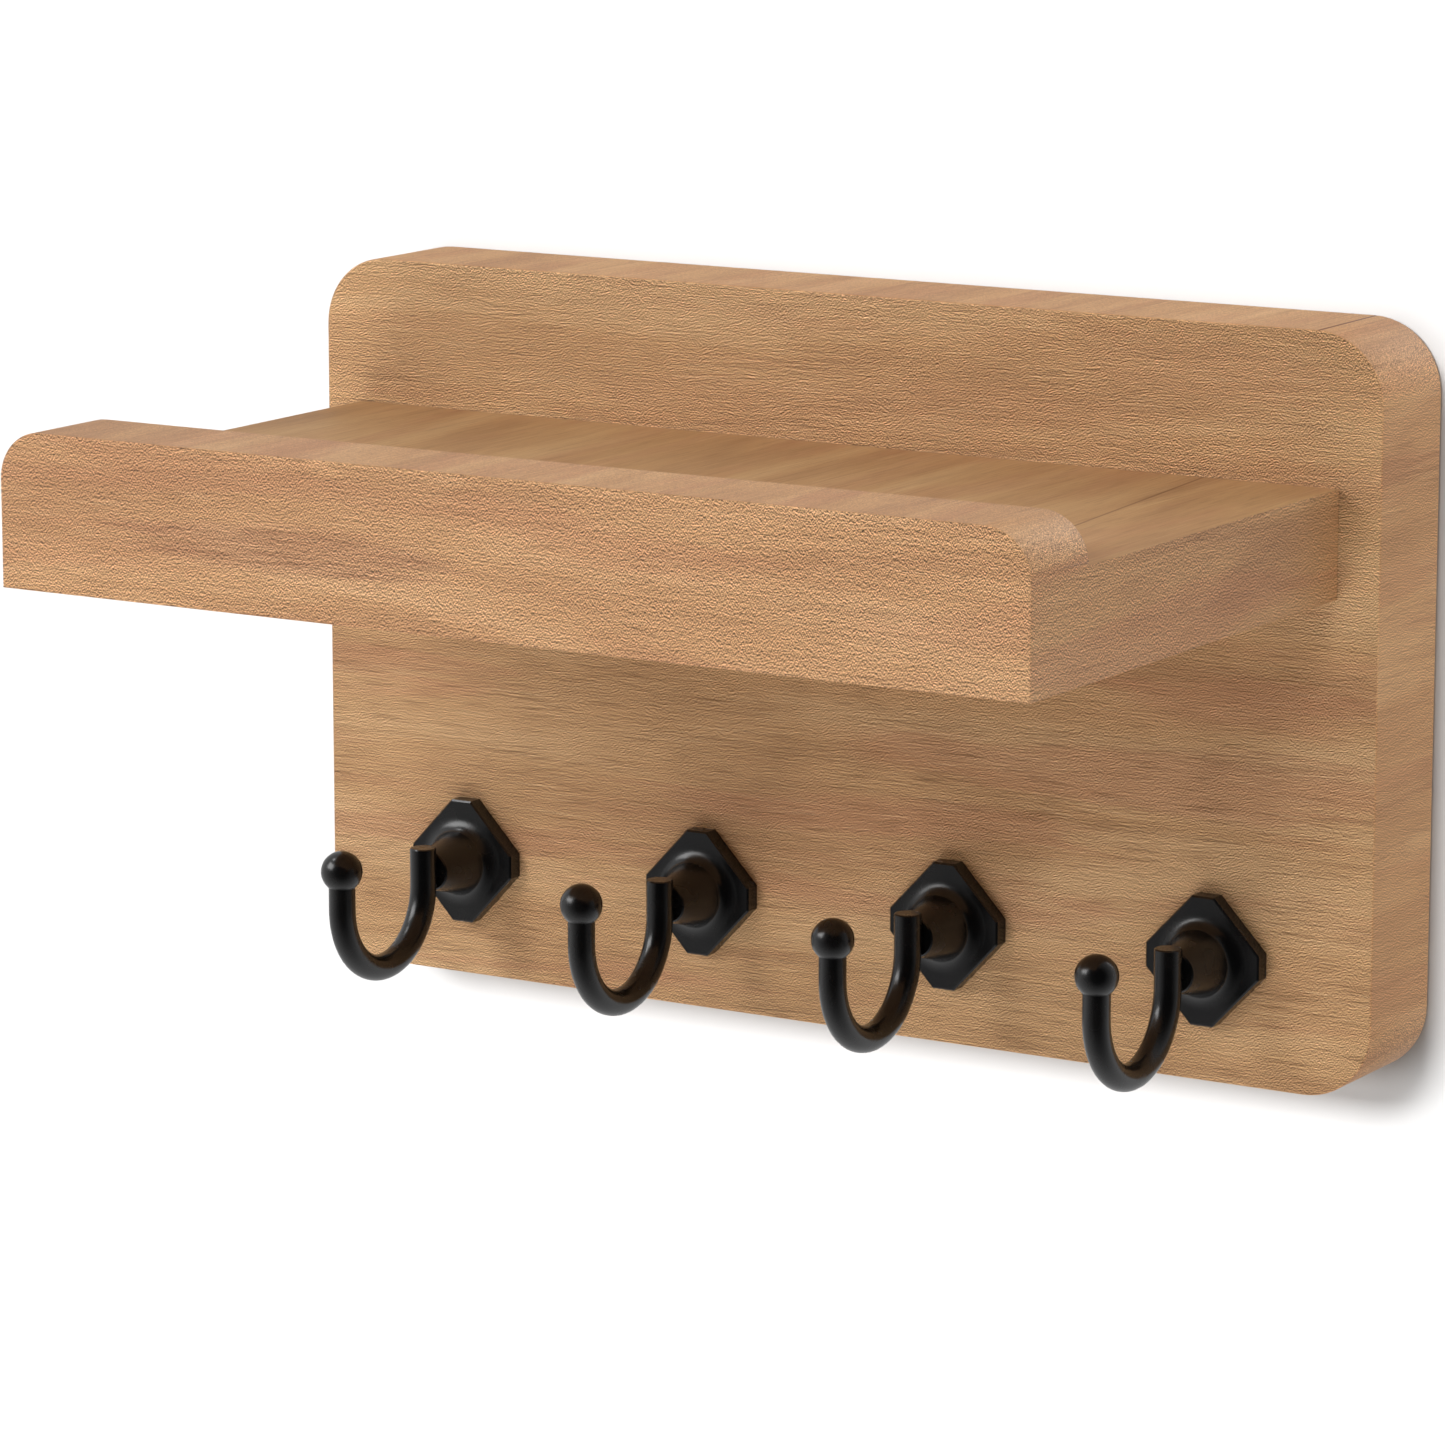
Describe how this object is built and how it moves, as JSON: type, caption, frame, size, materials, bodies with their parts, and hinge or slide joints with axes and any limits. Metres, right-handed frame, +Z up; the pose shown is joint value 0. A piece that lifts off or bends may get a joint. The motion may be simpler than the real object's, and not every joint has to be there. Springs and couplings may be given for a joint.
{
  "type": "wall key holder",
  "caption": "Wooden wall board with a railed shelf and a row of black ball-ended hooks for keys.",
  "frame": {"origin": "middle of the back board's rear face, which lies on the wall", "axes": "+X to the right along the board, +Y into the wall, +Z up"},
  "size_m": [0.254, 0.1547, 0.1564],
  "materials": {
    "back_wood": "satin oak with grain along X",
    "shelf_wood": "satin oak",
    "rail_wood": "satin oak with grain along X",
    "dowel_wood": "bare beech",
    "hook_black": "satin black",
    "screw_steel": "zinc plated",
    "hanger_steel": "zinc plated"
  },
  "bodies": {
    "root": {"back_board": "back_wood", "shelf_board": "shelf_wood", "front_rail": "rail_wood", "hook_base_1": "hook_black", "hook_base_2": "hook_black", "hook_base_3": "hook_black", "hook_base_4": "hook_black", "hook_arm_1": "hook_black", "hook_arm_2": "hook_black", "hook_arm_3": "hook_black", "hook_arm_4": "hook_black", "hook_screws": "screw_steel", "shelf_screws": "screw_steel", "rail_dowels": "dowel_wood", "hanger_plate_left": "hanger_steel", "hanger_plate_right": "hanger_steel", "hanger_screws": "screw_steel"}
  },
  "joints": []
}
